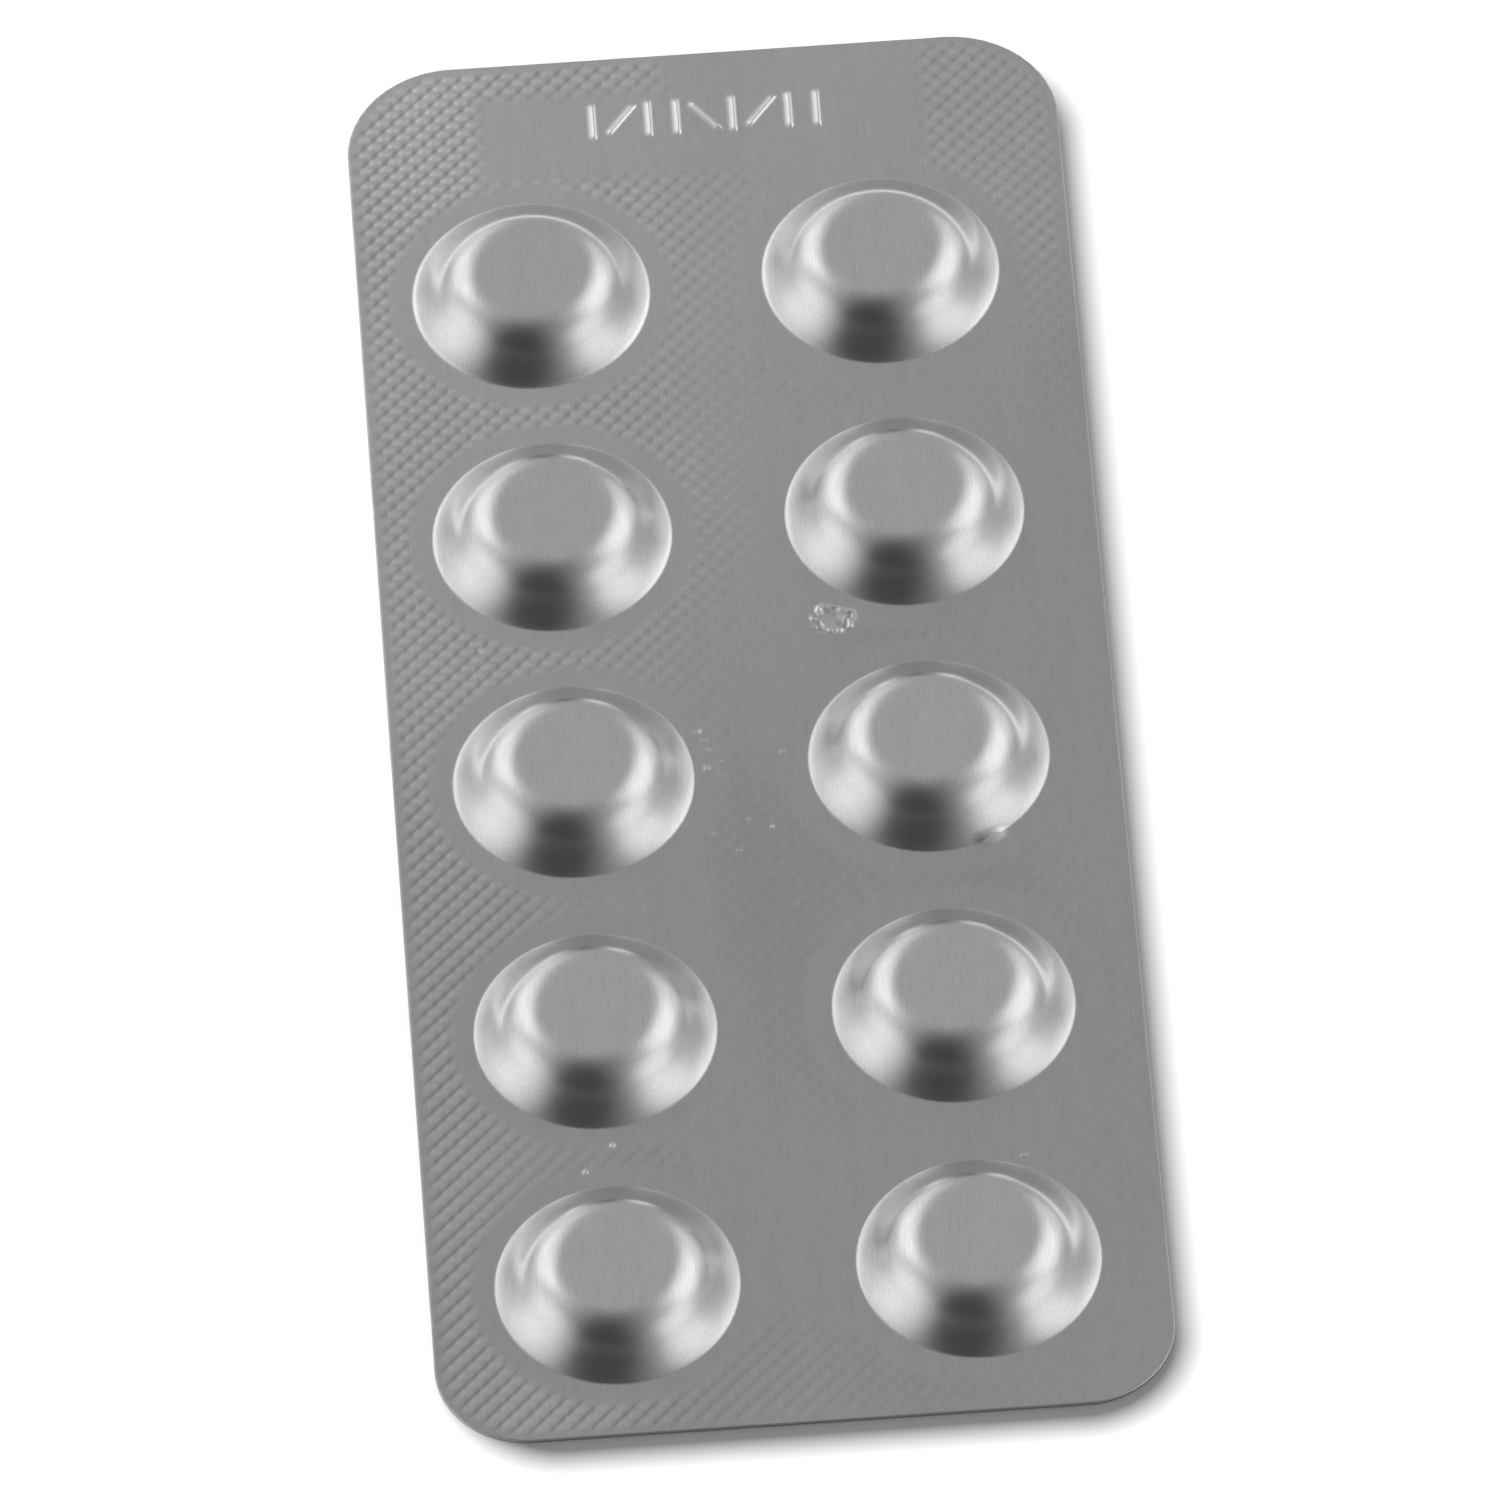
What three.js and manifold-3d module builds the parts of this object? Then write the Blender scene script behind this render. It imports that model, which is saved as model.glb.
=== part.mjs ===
// Sealed foil blister strip with ten round tablet pockets, in millimetres.
//
// The strip lies on its flat back at z = 0 with its pockets up. The origin is the middle of the back.
// +X runs across the strip, +Y along it towards the stamped end, and +Z up out of the pockets.
// It is sealed and opaque, so web, pockets and what they hold are one solid.
import * as THREE from "three";
import { mergeVertices } from "three/addons/utils/BufferGeometryUtils.js";
import Module from "manifold-3d";

// Pocket section: flat crown, round shoulder, then one arc that flares out to the foot
const POCKET_HEIGHT = 2.15; // crown above the web
const FOOT_RADIUS = 6.3;
const CROWN_RADIUS = 2.55;
const SHOULDER_RADIUS = 3.1;
const WALL_SLOPE_DEG = 47.5; // the steepest slope, where shoulder and flare meet
const SHOULDER_STEPS = 5;
const FLARE_STEPS = 2;
const POCKET_SEGMENTS = 36;

// Pocket layout: the web between the pockets, and the margins around them
const POCKET_COLUMNS = 2;
const POCKET_ROWS = 5;
const COLUMN_GAP = 6; // from foot to foot
const ROW_GAP = 3.7;
const LEFT_MARGIN = 3.15;
const RIGHT_MARGIN = 3.65;
const PLAIN_END_MARGIN = 3.2;
const STAMPED_END_MARGIN = 9.5;
const GRID_TURN_DEG = 0.43; // the strip was punched out a little turned against its pockets

// Web: the flat sheet that is left around the pockets
const WEB_THICKNESS = 0.3; // both foils, with the height of the knurl pressed into them
const STAMPED_END_CORNER_RADIUS = 5.8;
const PLAIN_END_CORNER_RADIUS = 4.8;
const CORNER_SEGMENTS = 10;

// Stamp: a row of plain raised strokes between the pockets and the end of the strip
const STROKE_HEIGHT = 0.15; // above the web
const STROKE_WIDTH = 0.5;
const STROKE_LENGTH = 2.4;
const STROKE_PITCH = 1.5;
const SLANT_DEG = 38;
const STROKE_SLANTS = [0, 1, 0, 0, -1, 0, 1, 0, 0]; // 0 upright, 1 leaning right, -1 leaning left
const STAMP_SHIFT = 0.3; // the row's middle, to the right of the strip's middle
const STAMP_END_GAP = 4.3; // from the end of the strip to the middle of the row
const STROKE_END_SEGMENTS = 5;

const FOIL_GREY = 0xb4b4b2;

// The strip is as large as its pockets, gaps and margins make it
const COLUMN_PITCH = 2 * FOOT_RADIUS + COLUMN_GAP;
const ROW_PITCH = 2 * FOOT_RADIUS + ROW_GAP;
const GRID_WIDTH = POCKET_COLUMNS * COLUMN_PITCH - COLUMN_GAP;
const GRID_LENGTH = POCKET_ROWS * ROW_PITCH - ROW_GAP;
const STRIP_WIDTH = LEFT_MARGIN + GRID_WIDTH + RIGHT_MARGIN;
const STRIP_LENGTH = PLAIN_END_MARGIN + GRID_LENGTH + STAMPED_END_MARGIN;
const GRID_CENTRE = new THREE.Vector2(
  (LEFT_MARGIN - RIGHT_MARGIN) / 2,
  (PLAIN_END_MARGIN - STAMPED_END_MARGIN) / 2,
);

const wasm = await Module();
wasm.setup();

// A closed three.js geometry as a solid that can be joined.
function solidOf(geometry) {
  const bare = geometry.clone();
  bare.deleteAttribute("normal");
  bare.deleteAttribute("uv");
  const merged = mergeVertices(bare, 1e-4);
  return new wasm.Manifold(
    new wasm.Mesh({
      numProp: 3,
      vertProperties: new Float32Array(merged.attributes.position.array),
      triVerts: new Uint32Array(merged.index.array),
    }),
  );
}

// A solid back as a three.js geometry.
function geometryOf(solid) {
  const mesh = solid.getMesh();
  const geometry = new THREE.BufferGeometry();
  geometry.setAttribute("position", new THREE.BufferAttribute(mesh.vertProperties, 3));
  geometry.setIndex(new THREE.BufferAttribute(mesh.triVerts, 1));
  geometry.computeVertexNormals();
  return geometry;
}

// The sheet: a rectangle with rounder corners at the stamped end.
function makeWeb() {
  const x = STRIP_WIDTH / 2;
  const y = STRIP_LENGTH / 2;
  const stamped = STAMPED_END_CORNER_RADIUS;
  const plain = PLAIN_END_CORNER_RADIUS;
  const outline = new THREE.Shape();
  outline.absarc(x - stamped, y - stamped, stamped, 0, Math.PI / 2);
  outline.absarc(-x + stamped, y - stamped, stamped, Math.PI / 2, Math.PI);
  outline.absarc(-x + plain, -y + plain, plain, Math.PI, 1.5 * Math.PI);
  outline.absarc(x - plain, -y + plain, plain, 1.5 * Math.PI, 2 * Math.PI);
  outline.closePath();
  return new THREE.ExtrudeGeometry(outline, {
    depth: WEB_THICKNESS,
    bevelEnabled: false,
    curveSegments: CORNER_SEGMENTS,
  });
}

// Points on an arc of the section, from one slope to another, without its first point.
// A positive radius gets steeper outwards, and a negative one gets flatter.
function sectionArc(start, radius, fromSlope, toSlope, steps) {
  return Array.from({ length: steps }, (_, i) => {
    const slope = fromSlope + ((toSlope - fromSlope) * (i + 1)) / steps;
    const out = radius * (Math.sin(slope) - Math.sin(fromSlope));
    const down = radius * (Math.cos(fromSlope) - Math.cos(slope));
    return new THREE.Vector2(start.x + out, start.y - down);
  });
}

// The pocket's section from the middle of its crown to its foot, with the foot at height 0.
function pocketSection() {
  const wallSlope = THREE.MathUtils.degToRad(WALL_SLOPE_DEG);
  const crownMiddle = new THREE.Vector2(0, POCKET_HEIGHT);
  const crownEdge = new THREE.Vector2(CROWN_RADIUS, POCKET_HEIGHT);
  const shoulder = sectionArc(crownEdge, SHOULDER_RADIUS, 0, wallSlope, SHOULDER_STEPS);
  // The flare goes on at the shoulder's slope, and its chord to the foot sets where it ends
  const flareStart = shoulder.at(-1);
  const chord = new THREE.Vector2(FOOT_RADIUS - flareStart.x, flareStart.y);
  const chordSlope = chord.angle();
  const flareRadius = -chord.length() / (2 * Math.sin(wallSlope - chordSlope));
  const footSlope = 2 * chordSlope - wallSlope;
  const flare = sectionArc(flareStart, flareRadius, wallSlope, footSlope, FLARE_STEPS);
  return [crownMiddle, crownEdge, ...shoulder, ...flare];
}

// One pocket as a filled solid of revolution, standing on the back of the strip.
function makePocket() {
  const upper = pocketSection().map((p) => new THREE.Vector2(p.x, p.y + WEB_THICKNESS));
  const rim = new THREE.Vector2(FOOT_RADIUS, 0);
  const profile = [new THREE.Vector2(0, 0), rim, ...upper.reverse()];
  const geometry = new THREE.LatheGeometry(profile, POCKET_SEGMENTS);
  return geometry.rotateX(Math.PI / 2);
}

// Where each pocket stands on the web.
function pocketPlaces() {
  const turn = THREE.MathUtils.degToRad(GRID_TURN_DEG);
  const places = [];
  for (let column = 0; column < POCKET_COLUMNS; column++) {
    for (let row = 0; row < POCKET_ROWS; row++) {
      const place = new THREE.Vector2(
        (column - (POCKET_COLUMNS - 1) / 2) * COLUMN_PITCH,
        (row - (POCKET_ROWS - 1) / 2) * ROW_PITCH,
      );
      places.push(place.rotateAround(new THREE.Vector2(), turn).add(GRID_CENTRE));
    }
  }
  return places;
}

// One raised stroke of the stamp: a bar with round ends, its foot at the back of the strip.
function makeStroke() {
  const r = STROKE_WIDTH / 2;
  const half = STROKE_LENGTH / 2 - r;
  const outline = new THREE.Shape();
  outline.absarc(0, half, r, 0, Math.PI);
  outline.absarc(0, -half, r, Math.PI, 2 * Math.PI);
  outline.closePath();
  return new THREE.ExtrudeGeometry(outline, {
    depth: WEB_THICKNESS + STROKE_HEIGHT,
    bevelEnabled: false,
    curveSegments: STROKE_END_SEGMENTS,
  });
}

// Sheet, pockets and stamp joined into the one sealed solid.
function makeStrip() {
  let strip = solidOf(makeWeb());
  const pocket = makePocket();
  for (const place of pocketPlaces()) {
    strip = strip.add(solidOf(pocket.clone().translate(place.x, place.y, 0)));
  }
  const stroke = makeStroke();
  const stampY = STRIP_LENGTH / 2 - STAMP_END_GAP;
  STROKE_SLANTS.forEach((slant, i) => {
    const x = STAMP_SHIFT + (i - (STROKE_SLANTS.length - 1) / 2) * STROKE_PITCH;
    const turned = stroke.clone().rotateZ(-slant * THREE.MathUtils.degToRad(SLANT_DEG));
    strip = strip.add(solidOf(turned.translate(x, stampY, 0)));
  });
  return geometryOf(strip);
}

const foil = new THREE.MeshStandardMaterial({ color: FOIL_GREY, roughness: 0.35, metalness: 1 });

const strip = new THREE.Mesh(makeStrip(), foil);
strip.name = "blister_strip";

const blister = new THREE.Group();
blister.add(strip);

export default blister;
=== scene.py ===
# %% [markdown]
# # A foil blister strip of test tablets
#
# The object is a flat strip of aluminium foil with ten round pockets pressed up out of it. Each
# pocket holds a tablet, and a second, thin foil is heat-sealed over the back. The sealing plate
# leaves a fine knurl all over the flat web, and a die stamps a code into a smooth band at one end.
#
# The plan: cut a fine knurled sheet to the outline of the strip, open it where the pockets stand,
# spin each pocket from its section, and join everything into one closed skin. The lidding foil is
# made from the same sheet, turned over. A satin foil finish with a fine rolled grain goes on both.

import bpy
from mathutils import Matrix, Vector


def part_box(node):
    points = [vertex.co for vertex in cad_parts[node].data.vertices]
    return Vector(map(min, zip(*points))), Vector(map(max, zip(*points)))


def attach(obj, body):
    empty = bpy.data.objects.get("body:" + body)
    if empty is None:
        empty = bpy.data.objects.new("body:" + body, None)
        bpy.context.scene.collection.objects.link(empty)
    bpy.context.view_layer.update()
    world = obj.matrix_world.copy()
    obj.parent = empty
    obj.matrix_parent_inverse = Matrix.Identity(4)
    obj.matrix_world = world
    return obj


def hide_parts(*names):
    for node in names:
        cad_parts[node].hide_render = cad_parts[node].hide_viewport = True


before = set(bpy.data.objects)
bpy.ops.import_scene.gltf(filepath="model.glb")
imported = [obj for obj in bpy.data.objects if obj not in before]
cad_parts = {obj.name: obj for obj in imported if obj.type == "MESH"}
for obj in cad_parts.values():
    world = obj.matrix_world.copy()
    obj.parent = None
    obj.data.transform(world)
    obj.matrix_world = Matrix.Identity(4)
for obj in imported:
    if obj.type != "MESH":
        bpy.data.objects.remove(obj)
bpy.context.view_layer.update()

# %% Blender's modules, and the sizes that the model gives
import math

import bmesh
import bpy
from mathutils import Matrix, Vector, noise

MM = 0.001  # meshes are made in millimetres and brought to metres when they are finished
STRIP = "blister_strip"
strip_low, strip_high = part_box(STRIP)
HALF_WIDTH = (strip_high.x - strip_low.x) / 2 / MM
HALF_LENGTH = (strip_high.y - strip_low.y) / 2 / MM
CROWN_LEVEL = strip_high.z / MM
print(f"strip {2 * HALF_WIDTH:.1f} x {2 * HALF_LENGTH:.1f} mm, crowns at {CROWN_LEVEL:.2f} mm")

# %% [markdown]
# ## Where the pockets stand
#
# The pockets are drawn by one tool and the strip is punched out by another, so the grid of pockets
# sits a little off the middle and a little turned. Everything that belongs to the forming tool is
# laid out in the grid's own turned axes: `to_grid` turns a point into them and `from_grid` back.

# %% The pocket grid
COLUMN_PITCH = 18.6
ROW_PITCH = 16.3
GRID_CENTRE = Vector((-0.25, -3.15))
GRID_TURN = math.radians(0.43)
COLUMNS = (-0.5, 0.5)
ROWS = (-2, -1, 0, 1, 2)


def to_grid(x, y):
    return Matrix.Rotation(-GRID_TURN, 2) @ (Vector((x, y)) - GRID_CENTRE)


def from_grid(x, y):
    return Matrix.Rotation(GRID_TURN, 2) @ Vector((x, y)) + GRID_CENTRE


POCKETS = [from_grid(column * COLUMN_PITCH, row * ROW_PITCH) for column in COLUMNS for row in ROWS]
print(len(POCKETS), "pockets, the first at", tuple(round(c, 2) for c in POCKETS[0]))


# %% The pocket nearest to a point, the outline round it, and a smooth step
STAMPED_END_CORNER = 5.8
PLAIN_END_CORNER = 4.8


def pocket_distance(x, y):
    """How far a point is from the middle of the nearest pocket."""
    place = to_grid(x, y)
    column = 0.5 if place.x > 0 else -0.5
    row = min(ROWS[-1], max(ROWS[0], round(place.y / ROW_PITCH)))
    return math.hypot(place.x - column * COLUMN_PITCH, place.y - row * ROW_PITCH)


def from_corner_core(x, y):
    """The way to a point from the nearest place that is a corner's radius inside the outline."""
    radius = STAMPED_END_CORNER if y > 0 else PLAIN_END_CORNER
    core_x = min(HALF_WIDTH - radius, max(radius - HALF_WIDTH, x))
    core_y = min(HALF_LENGTH - radius, max(radius - HALF_LENGTH, y))
    return Vector((x - core_x, y - core_y, 0)), radius


def edge_distance(x, y):
    """How far inside the strip's outline a point is."""
    way, radius = from_corner_core(x, y)
    return radius - way.length


def outward_at(x, y):
    """The direction straight out of the strip at a point near its outline."""
    return from_corner_core(x, y)[0].normalized()


def ease(start, end, value):
    """0 at start, 1 at end, and a smooth S between them."""
    share = min(1.0, max(0.0, (value - start) / (end - start)))
    return share * share * (3 - 2 * share)


print("the strip's middle is", round(pocket_distance(0, 0), 2), "mm from a pocket's middle")

# %% [markdown]
# ## The height of the web
#
# The seal plate presses a lattice of small pits into the two foils, and the foil between them is
# pushed up, so its tips stand a little above the plain web. In the photograph the knurl is strong
# along the left side and in the corners of the stamped end and hardly shows on the right, with a
# plain ring round each pocket and a plain band for the stamp. The press is given more or less
# strength to match. One function gives the height of the web at any point, so the sheet can be as
# fine or as coarse as it needs to be.

# %% The knurl's lattice, and where it was pressed
KNURL_PITCH = 0.75
KNURL_DEPTH = 0.08
KNURL_RISE = 0.045  # how far the tips stand above the plain web
FOOT_RADIUS = 6.3
PLAIN_RING = (0.75, 1.6)  # how far outside the foot the knurl begins, and where it is full
PLAIN_BANDS = ((-11.6, 11.4, 37.4, 42.6), (-1.5, 11.4, 37.4, 47))  # left, right, low, high side
PLAIN_EDGE = (0.1, 0.8)  # how far inside the outline the knurl begins, and where it is full
BAND_FADE = (0.5, -1.1)  # how far inside a plain band the knurl ends, and where it is full
RIDGE_SHARE = (0.28, 0.42)  # how much one wave outdoes the other at the stamped end, and added
RIDGE_RANGE = (25, -35)  # along the strip, where the ridges begin to grow, and where they are full

# Where the press bites: it begins at the first place and is full at the second
STAMPED_END_ALONG = (22, 34)
STAMPED_END_MIDDLE = (5, -3)
STAMPED_END_RIGHT = (10, 12)
LEFT_CORNER_ALONG = (24, 38)
LEFT_CORNER_ACROSS = (-8, -14)
WEAK_HALF_UPPER = (12, -10)
WEAK_HALF_LOWER = (-42, -35)
LEFT_SIDE = (6, -13)
WEAK_SHIFT = (10, 6)  # how far the weak half moves the two places of the left side
LEAST_PRESS = 0.12
MIDDLE_PRESS = 0.7
STAMPED_END_PRESS = 0.6
LEFT_CORNER_PRESS = 0.3


def knurl_wave(x, y):
    """1 on the lattice's tips and -1 in its pits. Its rows run at 45 degrees to the pocket grid."""
    place = to_grid(x, y)
    along = math.cos(2 * math.pi * (place.x + place.y) / math.sqrt(2) / KNURL_PITCH)
    across = math.cos(2 * math.pi * (place.y - place.x) / math.sqrt(2) / KNURL_PITCH)
    ridges = RIDGE_SHARE[0] + RIDGE_SHARE[1] * ease(*RIDGE_RANGE, y)
    return (across * (1 + ridges) + along * (1 - ridges)) / 2


def press_strength(x, y):
    """How deep the press bit at a point, from 0 to 1 and a little more in the left corner."""
    spread = noise.noise(Vector((x / 9, y / 14, 3.7)))
    across_end = max(MIDDLE_PRESS * ease(*STAMPED_END_MIDDLE, x), ease(*STAMPED_END_RIGHT, x))
    stamped_end = ease(*STAMPED_END_ALONG, y + 3 * spread) * across_end
    left_corner = LEFT_CORNER_PRESS * ease(*LEFT_CORNER_ALONG, y) * ease(*LEFT_CORNER_ACROSS, x)
    weak_half = ease(*WEAK_HALF_UPPER, y) * ease(*WEAK_HALF_LOWER, y)
    begins, full = [place - shift * weak_half for place, shift in zip(LEFT_SIDE, WEAK_SHIFT)]
    from_left = (1 - LEAST_PRESS) * ease(begins, full, x + 6 * spread)
    strength = LEAST_PRESS + from_left + STAMPED_END_PRESS * stamped_end + left_corner
    into_band = max(
        min(x - left, right - x, y - low, high - y) for left, right, low, high in PLAIN_BANDS
    )
    outside_foot = pocket_distance(x, y) - FOOT_RADIUS
    plain = ease(*PLAIN_RING, outside_foot) * ease(*PLAIN_EDGE, edge_distance(x, y))
    return min(1 + left_corner, strength) * plain * ease(*BAND_FADE, into_band)


print("press at the left edge", round(press_strength(-18, 5), 2))
print("press at the right edge", round(press_strength(18, 5), 2))

# %% [markdown]
# ## The stamp
#
# The code is pressed up from the back, so it stands out of the web in soft-sided strokes. A plain
# row of strokes takes its place here. Each stroke is a line with a height that falls off to its
# sides, so the foil drapes over it as it does over a real type. The left side is the gentler one,
# and it is what catches the light.

# %% The row of raised strokes
STROKE_SLANTS = (0, 1, 0, 0, -1, 0, 1, 0, 0)  # 0 upright, 1 leaning right, -1 leaning left
STROKE_PITCH = 1.5
STROKE_HALF = 0.95  # from the middle of a stroke to the middle of its round end
STROKE_HEIGHT = 0.1
STROKE_SIDE = 0.3  # from a stroke's ridge to where its side meets the web
GENTLE_SIDE = 0.65  # the left side is this many times as steep as that
STEEP_SIDE = 5  # and the right side this many times
STROKE_END = 0.6  # a stroke's ends run out more slowly than its sides
SLANT = math.radians(38)
STAMP_MIDDLE = Vector((0.3, HALF_LENGTH - 4.3))


def stroke_distance(x, y):
    """How far down a side or an end of the nearest stroke a point is. 0 is on its ridge."""
    nearest = math.inf
    for number, slant in enumerate(STROKE_SLANTS):
        shift = (number - (len(STROKE_SLANTS) - 1) / 2) * STROKE_PITCH
        away = Vector((x, y)) - STAMP_MIDDLE - Vector((shift, 0))
        line = Vector((math.sin(slant * SLANT), math.cos(slant * SLANT)))
        along = away.dot(line)
        past_end = max(0, abs(along) - STROKE_HALF) * STROKE_END
        to_right = away.x * line.y - away.y * line.x
        across = to_right * (STEEP_SIDE if to_right > 0 else GENTLE_SIDE)
        nearest = min(nearest, math.hypot(across, past_end))
    return nearest


def stroke_share(x, y):
    """1 on a stroke's sharp ridge and 0 clear of it. The sides run out softly into the web."""
    return max(0, 1 - stroke_distance(x, y) / STROKE_SIDE) ** 1.3


def in_stamp(x, y, margin=0.5):
    half_row = len(STROKE_SLANTS) / 2 * STROKE_PITCH
    return abs(x - STAMP_MIDDLE.x) < half_row + margin and abs(y - STAMP_MIDDLE.y) < 1.3 + margin


print("the stamp's row is", len(STROKE_SLANTS) * STROKE_PITCH, "mm long")

# %% [markdown]
# ## Small damage
#
# The strip has been handled. An oval scuff of crumpled foil lies between the second and the third
# row, a little right of the middle. Some flecks stand beside the third pocket on the left, and a
# few more are spread over the web. All of them are a tenth of a millimetre wide or more, so they
# are relief as well. The photograph doesn't tell whether a fleck is a dent or a burr. Burrs came
# out lighter, as the flecks are, so they are burrs.

# %% The scuff and the flecks
SCUFF = (4.7, 6.45)
SCUFF_HALF = (1.15, 1.05)
SCUFF_DEPTH = 0.1
SCUFF_RISE = 0.02
FLECK_SIZE = 1.4  # every fleck in the table is made this many times as large
FLECK_RISE = 1.5  # and this many times as high
FLECKS = (  # across, along, half its length, half its width, turned by degrees, height
    (-2.85, -0.5, 0.34, 0.12, 60, 0.03),
    (-2.6, -1.1, 0.25, 0.14, 20, 0.025),
    (-2.35, -1.7, 0.3, 0.12, -50, 0.025),
    (-2.55, -2.9, 0.32, 0.2, 80, 0.03),
    (-1.75, -2.5, 0.14, 0.12, 0, 0.02),
    (-1.9, -3.3, 0.16, 0.12, 30, 0.02),
    (1.45, -2.15, 0.22, 0.18, 0, 0.025),
    (0.6, -7.0, 0.2, 0.1, 70, 0.03),
    (-2.45, -7.2, 0.2, 0.14, 40, 0.02),
    (-0.6, -6.4, 0.12, 0.12, 0, 0.02),
    (-1.2, -8.4, 0.2, 0.12, 30, 0.02),
    (-9.0, -26.9, 0.3, 0.14, 60, 0.03),
    (-10.5, -28.55, 0.34, 0.16, 70, 0.03),
    (-13.9, 5.9, 0.24, 0.14, 20, 0.025),
    (12.1, -29.3, 0.28, 0.14, 10, 0.03),
)


def scuff_share(x, y):
    """0 at the scuff's middle, 1 on its rim and more outside it."""
    return math.hypot((x - SCUFF[0]) / SCUFF_HALF[0], (y - SCUFF[1]) / SCUFF_HALF[1])


def fleck_share(x, y, fleck):
    """0 at a fleck's middle, 1 on its rim and more outside it."""
    across, along, half_length, half_width, turn, _ = fleck
    away = Matrix.Rotation(-math.radians(turn), 2) @ Vector((x - across, y - along))
    return math.hypot(away.x / half_length, away.y / half_width) / FLECK_SIZE


def damage(x, y):
    """How deep the foil is dented at a point. It is below 0 where the foil stands up."""
    depth = 0
    share = scuff_share(x, y)
    if share < 1.2:
        crumple = noise.noise(Vector((x * 2.7, y * 2.7, 1.3)))
        crumple *= 0.4 + 0.6 * ease(0.3, 0.7, share)
        depth += (SCUFF_DEPTH * crumple - SCUFF_RISE) * ease(1.2, 0.85, share)
    for fleck in FLECKS:
        if abs(x - fleck[0]) < 0.5 and abs(y - fleck[1]) < 0.5:
            depth -= FLECK_RISE * fleck[5] * ease(1, 0, fleck_share(x, y, fleck))
    return depth


def is_damaged(x, y):
    near_fleck = any(math.hypot(x - fleck[0], y - fleck[1]) < 0.35 for fleck in FLECKS)
    return near_fleck or scuff_share(x, y) < 1.25


print("scuff", SCUFF, "and", len(FLECKS), "flecks")

# %% The web's height
WEB_LEVEL = 0.29
SAG = 0.012  # slow waves in the foil


def web_height(x, y):
    clear = ease(0.7, 2, pocket_distance(x, y) - FOOT_RADIUS)
    slow = SAG * clear * (noise.noise(Vector((x / 7, y / 11, 0.4))) - 0.5)
    dip = press_strength(x, y) * (KNURL_DEPTH * (1 - knurl_wave(x, y)) / 2 - KNURL_RISE)
    stroke = STROKE_HEIGHT * stroke_share(x, y) if in_stamp(x, y) else 0
    return WEB_LEVEL + slow - dip + stroke - damage(x, y)


print("web height in the middle", round(web_height(0, 0), 3), "mm")

# %% [markdown]
# ## The sheet
#
# The knurl could be a bump texture, but it is three quarters of a millimetre from row to row and
# shows clearly, so it is real relief. A grid turned to run along the lattice needs only four faces
# for each wave. It is made larger than the strip and cut to size: a straight cut on each side, and
# a fan of short cuts round each corner. The punch left rounder corners at the stamped end.

# %% A fine grid along the knurl, cut to the strip's sides
GRID_STEP = KNURL_PITCH / 4
EDGE_ROUND = 0.04  # the cut edge is rounded off by this much


def cut_off(bm, geometry, point, outward):
    """Cut geometry along a plane and drop what is outside it."""
    cut = bmesh.ops.bisect_plane(
        bm, geom=geometry, dist=0.01, plane_co=point, plane_no=outward, clear_outer=True
    )
    return [part for part in cut["geom"] if part.is_valid]


def everything(bm):
    return bm.verts[:] + bm.edges[:] + bm.faces[:]


sheet = bmesh.new()
reach = (HALF_WIDTH + HALF_LENGTH) / math.sqrt(2) + GRID_CENTRE.length
cells = 2 * math.ceil(reach / GRID_STEP)
along_knurl = Matrix.Translation((*GRID_CENTRE, 0)) @ Matrix.Rotation(GRID_TURN + math.pi / 4, 4, "Z")
bmesh.ops.create_grid(
    sheet, x_segments=cells, y_segments=cells, size=cells * GRID_STEP / 2, matrix=along_knurl
)
for side in (Vector((1, 0, 0)), Vector((-1, 0, 0)), Vector((0, 1, 0)), Vector((0, -1, 0))):
    half = HALF_WIDTH if side.x else HALF_LENGTH
    cut_off(sheet, everything(sheet), side * (half - EDGE_ROUND), side)
print("grid of", cells, "by", cells, "cut to", len(sheet.faces), "faces")

# %% The round corners
CORNER_CUTS = 12


def round_corner(bm, right, up, radius):
    """Cut one corner round. right and up are 1 or -1, and say which corner it is."""
    centre = Vector((right * (HALF_WIDTH - radius), up * (HALF_LENGTH - radius), 0))
    corner = [
        face
        for face in bm.faces
        if (face.calc_center_median() - centre).x * right > -0.5
        and (face.calc_center_median() - centre).y * up > -0.5
    ]
    edges = {edge for face in corner for edge in face.edges}
    verts = {vert for face in corner for vert in face.verts}
    geometry = corner + list(edges) + list(verts)
    for cut in range(CORNER_CUTS):
        angle = (cut + 0.5) / CORNER_CUTS * math.pi / 2
        outward = Vector((right * math.cos(angle), up * math.sin(angle), 0))
        geometry = cut_off(bm, geometry, centre + outward * (radius - EDGE_ROUND), outward)


for right in (1, -1):
    round_corner(sheet, right, 1, STAMPED_END_CORNER)
    round_corner(sheet, right, -1, PLAIN_END_CORNER)
print("outline cut:", len(sheet.faces), "faces")

# %% The holes for the pockets
RING_RADIUS = FOOT_RADIUS + 0.42  # where a pocket's own rings end
HOLE_RADIUS = FOOT_RADIUS + 0.7


def near_pocket(spot, reach):
    """The middle of the pocket that a point is close to, or None."""
    return next((centre for centre in POCKETS if (spot.xy - centre).length < reach), None)


under_pockets = [face for face in sheet.faces if near_pocket(face.calc_center_median(), HOLE_RADIUS)]
bmesh.ops.delete(sheet, geom=under_pockets, context="FACES")
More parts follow.
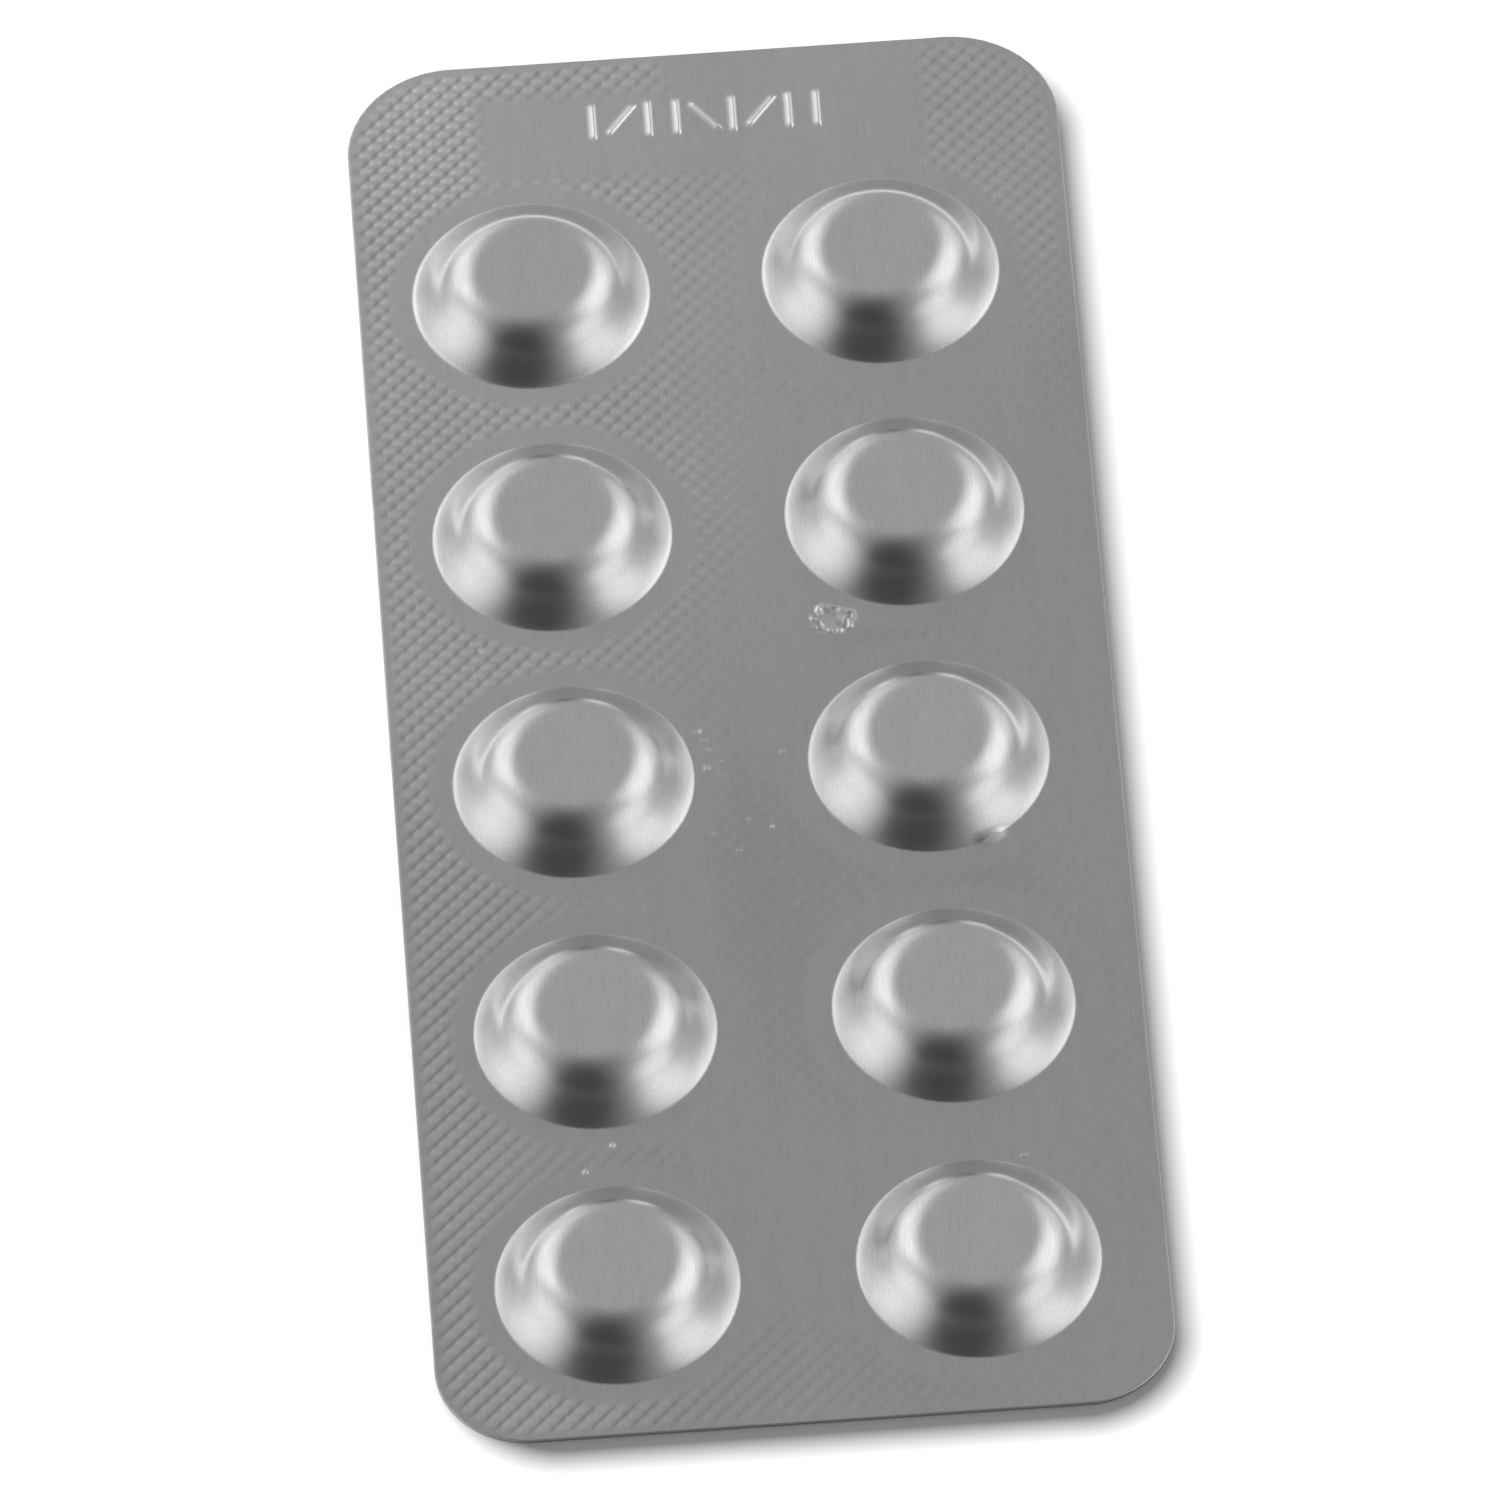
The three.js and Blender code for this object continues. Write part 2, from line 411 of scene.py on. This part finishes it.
# Each hole's stepped edge is drawn in to a true circle, so that nothing folds when it is joined
rims = [vert for vert in sheet.verts if vert.is_boundary and near_pocket(vert.co, HOLE_RADIUS + 0.3)]
for vert in rims:
    centre = near_pocket(vert.co, HOLE_RADIUS + 0.3)
    vert.co.xy = centre + (vert.co.xy - centre).normalized() * (HOLE_RADIUS - 0.12)
bmesh.ops.remove_doubles(sheet, verts=rims, dist=0.03)
sheet_mesh = bpy.data.meshes.new("knurled_sheet")
sheet.to_mesh(sheet_mesh)
sheet.free()
print("sheet with holes:", len(sheet_mesh.polygons), "faces")

# %% [markdown]
# ## A pocket
#
# A pocket is drawn by a soft punch: a flat crown over the tablet, a round shoulder, and a wall that
# flares out in one long arc to a crease at the foot. Its section is three arcs that run on from
# each other, and a full spin turns it into the pocket. The crease has a small fillet, which stands
# for the thin bright rim in the photograph. The section was fitted to the pockets' reflections
# together with the light, so it is the likeliest one and not a measured one.

# %% The pocket's section
CROWN_RADIUS = 2.55
SHOULDER_RADIUS = 3.1
WALL_SLOPE = math.radians(47.5)
FOOT_FILLET = 0.35
POCKET_HEIGHT = CROWN_LEVEL - WEB_LEVEL


def section_arc(start, radius, slope_from, slope_to, steps):
    """Points (out, up) on an arc that turns from one slope to another. A negative radius flattens."""
    points = []
    for step in range(1, steps + 1):
        slope = slope_from + (slope_to - slope_from) * step / steps
        out = radius * (math.sin(slope) - math.sin(slope_from))
        down = radius * (math.cos(slope_from) - math.cos(slope))
        points.append(start + Vector((out, -down)))
    return points


def pocket_section():
    crown = [Vector((CROWN_RADIUS * share, POCKET_HEIGHT)) for share in (0, 0.35, 0.7, 1)]
    shoulder = section_arc(crown[-1], SHOULDER_RADIUS, 0, WALL_SLOPE, 10)
    chord = Vector((FOOT_RADIUS, 0)) - shoulder[-1]
    chord_slope = math.atan2(-chord.y, chord.x)
    flare_radius = -chord.length / (2 * math.sin(WALL_SLOPE - chord_slope))
    foot_slope = 2 * chord_slope - WALL_SLOPE
    # The flare stops short of the foot by the length that the fillet takes
    short = FOOT_FILLET * math.tan(foot_slope / 2)
    fillet_slope = foot_slope - short / flare_radius
    flare = section_arc(shoulder[-1], flare_radius, WALL_SLOPE, fillet_slope, 7)
    fillet = section_arc(flare[-1], -FOOT_FILLET, fillet_slope, 0, 4)
    ring = [Vector((FOOT_RADIUS + 0.2, 0)), Vector((RING_RADIUS, 0))]
    return crown + shoulder + flare + fillet + ring


section = pocket_section()
print(len(section), "points, fillet ends", round(section[-3].y, 4), "mm above the web")

# %% The pocket, spun from its section
POCKET_STEPS = 64

pocket = bmesh.new()
ring_verts = [pocket.verts.new((point.x, 0, WEB_LEVEL + point.y)) for point in section]
ring_edges = [pocket.edges.new(pair) for pair in zip(ring_verts, ring_verts[1:])]
bmesh.ops.spin(
    pocket,
    geom=ring_verts + ring_edges,
    cent=(0, 0, 0),
    axis=(0, 0, 1),
    angle=2 * math.pi,
    steps=POCKET_STEPS,
    use_merge=True,
)
bmesh.ops.remove_doubles(pocket, verts=pocket.verts[:], dist=0.001)
bmesh.ops.recalc_face_normals(pocket, faces=pocket.faces[:])
pocket_mesh = bpy.data.meshes.new("pocket")
pocket.to_mesh(pocket_mesh)
pocket.free()
print("pocket:", len(pocket_mesh.polygons), "faces")

# %% [markdown]
# ## The formed foil
#
# The sheet gets its relief, the ten pockets are set into its holes, and a band of faces is bridged
# from each hole to the pocket's outer ring. The web is plain there, so the uneven band doesn't
# show. The stamp and the damage need a finer mesh than the knurl, so the edges there are
# cut in three first.

# %% The sheet takes its relief
foil = bmesh.new()
foil.from_mesh(sheet_mesh)
fine = {vert for vert in foil.verts if in_stamp(*vert.co.xy, 0.1) or is_damaged(*vert.co.xy)}
fine_edges = [edge for edge in foil.edges if fine.issuperset(edge.verts)]
bmesh.ops.subdivide_edges(foil, edges=fine_edges, cuts=2, use_grid_fill=True)
for vert in foil.verts:
    vert.co.z = web_height(vert.co.x, vert.co.y)
print("relief on", len(foil.verts), "points")


# %% The pockets are set in and bridged to the sheet
TOOL_MARK = (5.1, math.radians(151), 0.035)  # distance from the middle, direction, depth
TOOL_MARK_HALF = (0.35, 0.9)  # half its width outwards, and half its length round the pocket
RIM_NICK = (11.94, -8.73, 0.3)  # across, along, height
RIM_NICK_REACH = 0.45
UNEVEN_HEIGHT = 0.007
UNEVEN_SIZE = 3.2


def pocket_change(spot, number):
    """How far a point of a pocket is off its plain section."""
    place = Vector((spot.x / UNEVEN_SIZE, spot.y / UNEVEN_SIZE, spot.z / UNEVEN_SIZE + 5 * number))
    uneven = UNEVEN_HEIGHT * noise.noise(place)
    distance, towards, depth = TOOL_MARK
    out = (spot.xy.length - distance) / TOOL_MARK_HALF[0]
    round_it = (math.atan2(spot.y, spot.x) - towards) * distance / TOOL_MARK_HALF[1]
    mark = depth * ease(1, 0, math.hypot(out, round_it))
    across, along, height = RIM_NICK
    from_nick = (spot.xy + POCKETS[number] - Vector((across, along))).length
    nick = height * ease(RIM_NICK_REACH, 0, from_nick)
    return uneven * ease(FOOT_RADIUS, FOOT_RADIUS - 1, spot.xy.length) - mark + nick


def bridge_holes(bm):
    """Join each hole's edge to the ring that stands inside it."""
    loops = {number: [] for number in range(len(POCKETS))}
    for edge in bm.edges:
        if edge.is_boundary:
            middle = (edge.verts[0].co + edge.verts[1].co) / 2
            for number, centre in enumerate(POCKETS):
                if (middle.xy - centre).length < HOLE_RADIUS + 0.5:
                    loops[number].append(edge)
    for edges in loops.values():
        bmesh.ops.bridge_loops(bm, edges=edges)


for number, centre in enumerate(POCKETS):
    before = len(foil.verts)
    foil.from_mesh(pocket_mesh)
    added = list(foil.verts)[before:]
    for vert in added:
        vert.co.z += pocket_change(vert.co, number)
    bmesh.ops.translate(foil, verts=added, vec=(*centre, 0))
bridge_holes(foil)
print("formed foil:", len(foil.faces), "faces")

# %% [markdown]
# ## The cut edge
#
# The punch leaves a thin edge that is rounded on top. It is drawn out of the sheet's boundary in
# three narrow rings, each moved outwards along the outline and down, and closed with one flat face
# where the two foils meet. The lidding foil's edge is made the same way from the other side.

# %% Rings drawn out of the outline
FOIL_SEAM = 0.09  # the level where the two foils meet


def draw_edge(bm, rings, seam_level):
    """Draw the boundary out in rings of (outwards, down), then to the seam, and close it."""
    rim = [edge for edge in bm.edges if edge.is_boundary]
    for out, down in (*rings, (0, None)):
        drawn = bmesh.ops.extrude_edge_only(bm, edges=rim)["geom"]
        rim = [part for part in drawn if isinstance(part, bmesh.types.BMEdge) and part.is_boundary]
        for vert in {vert for edge in rim for vert in edge.verts}:
            vert.co += outward_at(vert.co.x, vert.co.y) * out
            vert.co.z = seam_level if down is None else vert.co.z - down
    bmesh.ops.contextual_create(bm, geom=rim)
    bmesh.ops.recalc_face_normals(bm, faces=bm.faces[:])


draw_edge(foil, [(0.028, 0.012), (0.012, 0.028)], FOIL_SEAM)
print("formed foil closed:", all(edge.is_manifold for edge in foil.edges))

# %% [markdown]
# ## The lidding foil
#
# The back is flat lidding foil with the same knurl pressed into it, and a plain disc under each
# pocket where nothing pressed it. It is the same sheet with its relief turned over and shallower,
# and flat discs in place of the pockets.

# %% The lidding foil, from the same sheet
LID_KNURL = 0.6  # the knurl's share of depth on the back

lid = bmesh.new()
lid.from_mesh(sheet_mesh)
for vert in lid.verts:
    x, y = vert.co.xy
    vert.co.z = LID_KNURL * KNURL_DEPTH * press_strength(x, y) * (1 - knurl_wave(x, y)) / 2
for centre in POCKETS:
    bmesh.ops.create_circle(
        lid,
        cap_ends=True,
        radius=RING_RADIUS,
        segments=POCKET_STEPS,
        matrix=Matrix.Translation((*centre, 0)),
    )
bridge_holes(lid)
draw_edge(lid, [(0.028, -0.008), (0.012, -0.02)], FOIL_SEAM - 0.004)
print("lidding foil closed:", all(edge.is_manifold for edge in lid.edges))


# %% Both foils become pieces of the strip
def finish_piece(bm, name):
    """Bring a mesh to metres and make it a piece that stands for the strip."""
    bmesh.ops.scale(bm, vec=(MM, MM, MM), verts=bm.verts[:])
    mesh = bpy.data.meshes.new(name)
    bm.to_mesh(mesh)
    bm.free()
    mesh.shade_smooth()
    piece = bpy.data.objects.new(name, mesh)
    bpy.context.scene.collection.objects.link(piece)
    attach(piece, "root")
    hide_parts(STRIP)
    mesh.calc_loop_triangles()
    print(name, "has", len(mesh.loop_triangles), "triangles")
    return piece


formed_foil = finish_piece(foil, "formed_foil")
lidding_foil = finish_piece(lid, "lidding_foil")

# %% [markdown]
# ## The foil's finish
#
# Rolled aluminium foil is a satin metal: it shows its surroundings as a soft blur, and the rolls
# leave a fine grain along its length. The grain is a noise that is stretched along the strip, and
# it drives a shallow bump and a little of the colour. The web looks duller and darker than the
# drawn pockets in the photograph, so the height above the web sets the tone and the roughness.
# Relief alone gave the knurl two bright lines for each step where the photograph has one, so the
# tone by height also paints shade into the knurl's pits and a highlight onto its tips. These tones,
# and a painted light that makes the web lighter towards the left corner of the stamped end, are
# fitted to the photograph and not known from the foil.


# %% Helpers for shader nodes
def add_node(tree, kind, **settings):
    node = tree.nodes.new(kind)
    for name, value in settings.items():
        setattr(node, name, value)
    return node


def stretched_noise(tree, coordinates, scale, detail):
    """A noise on the object's coordinates in millimetres, stretched by a scale for each axis."""
    mapping = add_node(tree, "ShaderNodeMapping")
    mapping.inputs["Scale"].default_value = [each / MM for each in scale]
    tree.links.new(coordinates, mapping.inputs["Vector"])
    texture = add_node(tree, "ShaderNodeTexNoise")
    texture.inputs["Scale"].default_value = 1
    texture.inputs["Detail"].default_value = detail
    tree.links.new(mapping.outputs["Vector"], texture.inputs["Vector"])
    return texture.outputs["Fac"]


def mapped(tree, value, low, high, from_low=0.3, from_high=0.7):
    """Bring a value from one range into another. The first range is a noise's own by default."""
    node = add_node(tree, "ShaderNodeMapRange")
    node.inputs["From Min"].default_value = from_low
    node.inputs["From Max"].default_value = from_high
    node.inputs["To Min"].default_value = low
    node.inputs["To Max"].default_value = high
    tree.links.new(value, node.inputs["Value"])
    return node.outputs["Result"]


def maths(tree, operation, first, second=None):
    """One math node. Each side is a number or the output of another node."""
    node = add_node(tree, "ShaderNodeMath", operation=operation)
    for socket, value in zip(node.inputs, (first, second)):
        if isinstance(value, bpy.types.NodeSocket):
            tree.links.new(value, socket)
        elif value is not None:
            socket.default_value = value
    return node.outputs["Value"]


print("helpers ready")


# %% Satin rolled foil
WEB_ROUGHNESS = 0.34
DRAWN_ROUGHNESS = 0.23
PIT_SHADE_LEVELS = (-0.035, -0.006)  # from the web, where the painted shade in the pits is full, and where it ends
DRAWN_LEVELS = (0.002, 0.04)  # where the drawn tone begins, and where it is full; on the knurl's tips it is a painted highlight
FLAT_LEVELS = (0.06, 0.15)  # where the web's painted corner light begins to fade, and where it ends
CORNER_PAINTED_LIGHT = 0.28  # how much painted light makes the web lighter at the stamped end's left corner
CORNER_RANGE = (-5, 58)  # along less across, where that begins, and where it is full
GRAIN = (11, 0.7, 11)  # the noises' fineness for each axis, for each millimetre
BROAD_GRAIN = (1.3, 0.1, 1.3)
GRAIN_HEIGHT = 0.0004


def above_web(levels):
    """Heights above the web in millimetres as levels of the piece in metres."""
    return [(WEB_LEVEL + level) * MM for level in levels]


def make_rolled_foil(name, pit_shade_tone, web_tone, drawn_tone_and_highlight):
    """The tones are how light the foil is in the pits, which is painted shade, on the flat web, and
    on what stands up, which on the knurl's tips is a painted highlight.
    """
    material = bpy.data.materials.new(name)
    material.use_nodes = True
    tree = material.node_tree
    shader = tree.nodes["Principled BSDF"]
    shader.inputs["Metallic"].default_value = 1
    coordinates = add_node(tree, "ShaderNodeTexCoord").outputs["Object"]
    place = add_node(tree, "ShaderNodeSeparateXYZ")
    tree.links.new(coordinates, place.inputs["Vector"])
    height = place.outputs["Z"]
    # The tone follows the height: painted shade in the knurl's pits, and the drawn tone on what
    # stands up, which is a painted highlight on the knurl's tips
    drawn_levels = above_web(DRAWN_LEVELS)
    raised = mapped(tree, height, web_tone, drawn_tone_and_highlight, *drawn_levels)
    painted_pit_shade = mapped(tree, height, pit_shade_tone / web_tone, 1, *above_web(PIT_SHADE_LEVELS))
    flat = mapped(tree, height, 1, 0, *above_web(FLAT_LEVELS))
    # Painted light: the web is made lighter towards the left corner of the stamped end, fading out on
    # what stands up
    to_corner = maths(tree, "SUBTRACT", place.outputs["Y"], place.outputs["X"])
    corner_range = [end * MM for end in CORNER_RANGE]
    lighter = mapped(tree, to_corner, 0, CORNER_PAINTED_LIGHT, *corner_range)
    web_painted_light = maths(tree, "ADD", 1, maths(tree, "MULTIPLY", lighter, flat))
    plain = maths(tree, "MULTIPLY", maths(tree, "MULTIPLY", raised, painted_pit_shade), web_painted_light)
    grain = stretched_noise(tree, coordinates, GRAIN, 3)
    broad = stretched_noise(tree, coordinates, BROAD_GRAIN, 2)
    speckled = maths(tree, "MULTIPLY", plain, mapped(tree, grain, 0.95, 1.05))
    shade = maths(tree, "MULTIPLY", speckled, mapped(tree, broad, 0.985, 1.015))
    colour = add_node(tree, "ShaderNodeCombineColor")
    for channel in ("Red", "Green", "Blue"):
        tree.links.new(shade, colour.inputs[channel])
    tree.links.new(colour.outputs["Color"], shader.inputs["Base Color"])
    roughness = mapped(tree, height, WEB_ROUGHNESS, DRAWN_ROUGHNESS, *drawn_levels)
    tree.links.new(roughness, shader.inputs["Roughness"])
    bump = add_node(tree, "ShaderNodeBump")
    bump.inputs["Distance"].default_value = GRAIN_HEIGHT * MM
    tree.links.new(grain, bump.inputs["Height"])
    tree.links.new(bump.outputs["Normal"], shader.inputs["Normal"])
    return material


formed_foil.data.materials.append(make_rolled_foil("rolled_foil", 0.44, 0.59, 0.8))
lidding_foil.data.materials.append(make_rolled_foil("lidding_foil_finish", 0.74, 0.74, 0.74))
print("materials:", [material.name for material in bpy.data.materials])

# %% [markdown]
# ## The studio
#
# Metal is lit by what it mirrors, so the room is the light. It is a tent with soft patches of light
# on it, which were fitted to what the pockets mirror in the photograph: narrow ones left and right
# behind the strip, which make the crescents on the shoulders, and broad ones left and right in
# front, which light the flanks. The tent is mid-grey elsewhere, which is the tone of the flat web,
# and dark round the camera's opening, which is the dark patch at the front of each pocket.
#
# The floor is white. It is lit like everything else, and a camera, glossy or transmission ray sees
# it a little brighter, up to plain white. The strip's soft shadow is painted in the floor's colour,
# fitted to the photograph. From below the floor is clear, so that the back can be seen.

# %% The tent and its soft patches of light
TENT_GREY = 0.38
PATCHES = (  # azimuth and elevation of the middle, how many degrees it reaches, added tone
    (-36, 34, 22, 0.47),
    (-47, 49, 12, 0.29),
    (-23, 14, 21, 0.41),
    (-99, 22, 37, 0.34),
    (-72, 36, 47, 0.30),
    (60, 45, 25, 0.63),
    (42, 24, 22, 0.39),
    (112, 36, 27, 0.40),
    (107, 41, 50, 0.20),
    (-164, 55, 60, -0.33),
)


def direction(azimuth, elevation):
    """A direction from the strip. Azimuth 0 is straight behind it and 90 is to its right."""
    azimuth, elevation = math.radians(azimuth), math.radians(elevation)
    flat = math.cos(elevation)
    return Vector((flat * math.sin(azimuth), flat * math.cos(azimuth), math.sin(elevation)))


world = bpy.data.worlds.new("studio")
world.use_nodes = True
bpy.context.scene.world = world
room = world.node_tree
looking = add_node(room, "ShaderNodeTexCoord").outputs["Generated"]
brightness = TENT_GREY
for azimuth, elevation, reach, added in PATCHES:
    facing = add_node(room, "ShaderNodeVectorMath", operation="DOT_PRODUCT")
    facing.inputs[1].default_value = direction(azimuth, elevation)
    room.links.new(looking, facing.inputs[0])
    patch = mapped(room, facing.outputs["Value"], 0, added, math.cos(math.radians(reach)), 1)
    patch.node.interpolation_type = "SMOOTHSTEP"
    brightness = maths(room, "ADD", patch, brightness)
brightness = maths(room, "MAXIMUM", brightness, 0)
room.links.new(brightness, room.nodes["Background"].inputs["Strength"])
room.nodes["Background"].inputs["Color"].default_value = (1, 1, 1, 1)
print("tent at", TENT_GREY, "with", len(PATCHES), "patches")

# %% The white floor
FLOOR_HALF = 0.6
FLOOR_GAP = 0.02 * MM  # keeps the floor clear of the flat back
FLOOR_LIFT = 0.66  # how much brighter the camera sees the floor
SHADOW_SHIFT = (0.8 * MM, -1.4 * MM)  # to the right and to the front
SHADOW_SOFT = 0.85 * MM  # half the width of the shadow's soft rim
SHADOW_DARK = 0.78


def shadow_share(tree):
    """1 under the strip and 0 clear of its shadow: a round-cornered box, moved and soft."""
    place = add_node(tree, "ShaderNodeSeparateXYZ")
    tree.links.new(add_node(tree, "ShaderNodeTexCoord").outputs["Object"], place.inputs["Vector"])
    radius = STAMPED_END_CORNER * MM
    past = []
    for axis, shift, half in zip("XY", SHADOW_SHIFT, (HALF_WIDTH * MM, HALF_LENGTH * MM)):
        away = maths(tree, "ABSOLUTE", maths(tree, "SUBTRACT", place.outputs[axis], shift))
        past.append(maths(tree, "MAXIMUM", maths(tree, "SUBTRACT", away, half - radius), 0))
    squares = [maths(tree, "POWER", side, 2) for side in past]
    length = maths(tree, "SQRT", maths(tree, "ADD", *squares))
    share = mapped(tree, length, 1, 0, radius - SHADOW_SOFT, radius + SHADOW_SOFT)
    return maths(tree, "POWER", share, 1.2)


bpy.ops.mesh.primitive_plane_add(size=2 * FLOOR_HALF, location=(0, 0, -FLOOR_GAP))
floor = bpy.context.object
floor.name = "floor"
paper = bpy.data.materials.new("white_floor")
paper.use_nodes = True
tree = paper.node_tree
tree.nodes.remove(tree.nodes["Principled BSDF"])
matt = add_node(tree, "ShaderNodeBsdfDiffuse")
glow = add_node(tree, "ShaderNodeEmission")
both = add_node(tree, "ShaderNodeAddShader")
path = add_node(tree, "ShaderNodeLightPath")
lit = maths(tree, "SUBTRACT", 1, maths(tree, "MULTIPLY", shadow_share(tree), SHADOW_DARK))
seen = maths(tree, "MAXIMUM", path.outputs["Is Camera Ray"], path.outputs["Is Glossy Ray"])
seen = maths(tree, "MAXIMUM", seen, path.outputs["Is Transmission Ray"])
lift = maths(tree, "MULTIPLY", maths(tree, "MULTIPLY", seen, FLOOR_LIFT), lit)
tree.links.new(lift, glow.inputs["Strength"])
shade = add_node(tree, "ShaderNodeCombineColor")
for channel in ("Red", "Green", "Blue"):
    tree.links.new(maths(tree, "MULTIPLY", lit, 0.85), shade.inputs[channel])
tree.links.new(shade.outputs["Color"], matt.inputs["Color"])
tree.links.new(matt.outputs["BSDF"], both.inputs[0])
tree.links.new(glow.outputs["Emission"], both.inputs[1])
one_sided = add_node(tree, "ShaderNodeMixShader")
tree.links.new(add_node(tree, "ShaderNodeNewGeometry").outputs["Backfacing"], one_sided.inputs[0])
tree.links.new(both.outputs["Shader"], one_sided.inputs[1])
tree.links.new(add_node(tree, "ShaderNodeBsdfTransparent").outputs["BSDF"], one_sided.inputs[2])
tree.links.new(one_sided.outputs["Shader"], tree.nodes["Material Output"].inputs["Surface"])
floor.data.materials.append(paper)
print("floor", 2 * FLOOR_HALF, "m across")

# %% [markdown]
# ## The camera
#
# The photograph was taken with a long lens from well above the strip, so its long sides stay nearly
# parallel. The camera's place, lens and small roll come from fitting the strip's outline and its
# ten round feet to the picture.

# %% The camera
CAMERA_PLACE = Vector((-25.2, -700.7, 912.87)) * MM
CAMERA_AIM = Vector((-0.24, -1.91, 0.3)) * MM
CAMERA_ROLL = math.radians(2.225)
LENS = 528.1

view = bpy.data.cameras.new("camera")
view.lens = LENS
view.sensor_width = 36
view.clip_start = 0.1
view.clip_end = 10
camera = bpy.data.objects.new("camera", view)
aim = (CAMERA_PLACE - CAMERA_AIM).to_track_quat("Z", "Y").to_matrix().to_4x4()
camera.matrix_world = Matrix.Translation(CAMERA_PLACE) @ aim @ Matrix.Rotation(-CAMERA_ROLL, 4, "Z")
bpy.context.scene.collection.objects.link(camera)
bpy.context.scene.camera = camera
bpy.context.scene.view_settings.view_transform = "Standard"
print("camera", round((CAMERA_PLACE - CAMERA_AIM).length, 3), "m from the strip")
print("camera's right hand points to", [round(c, 4) for c in camera.matrix_world.col[0][:3]])
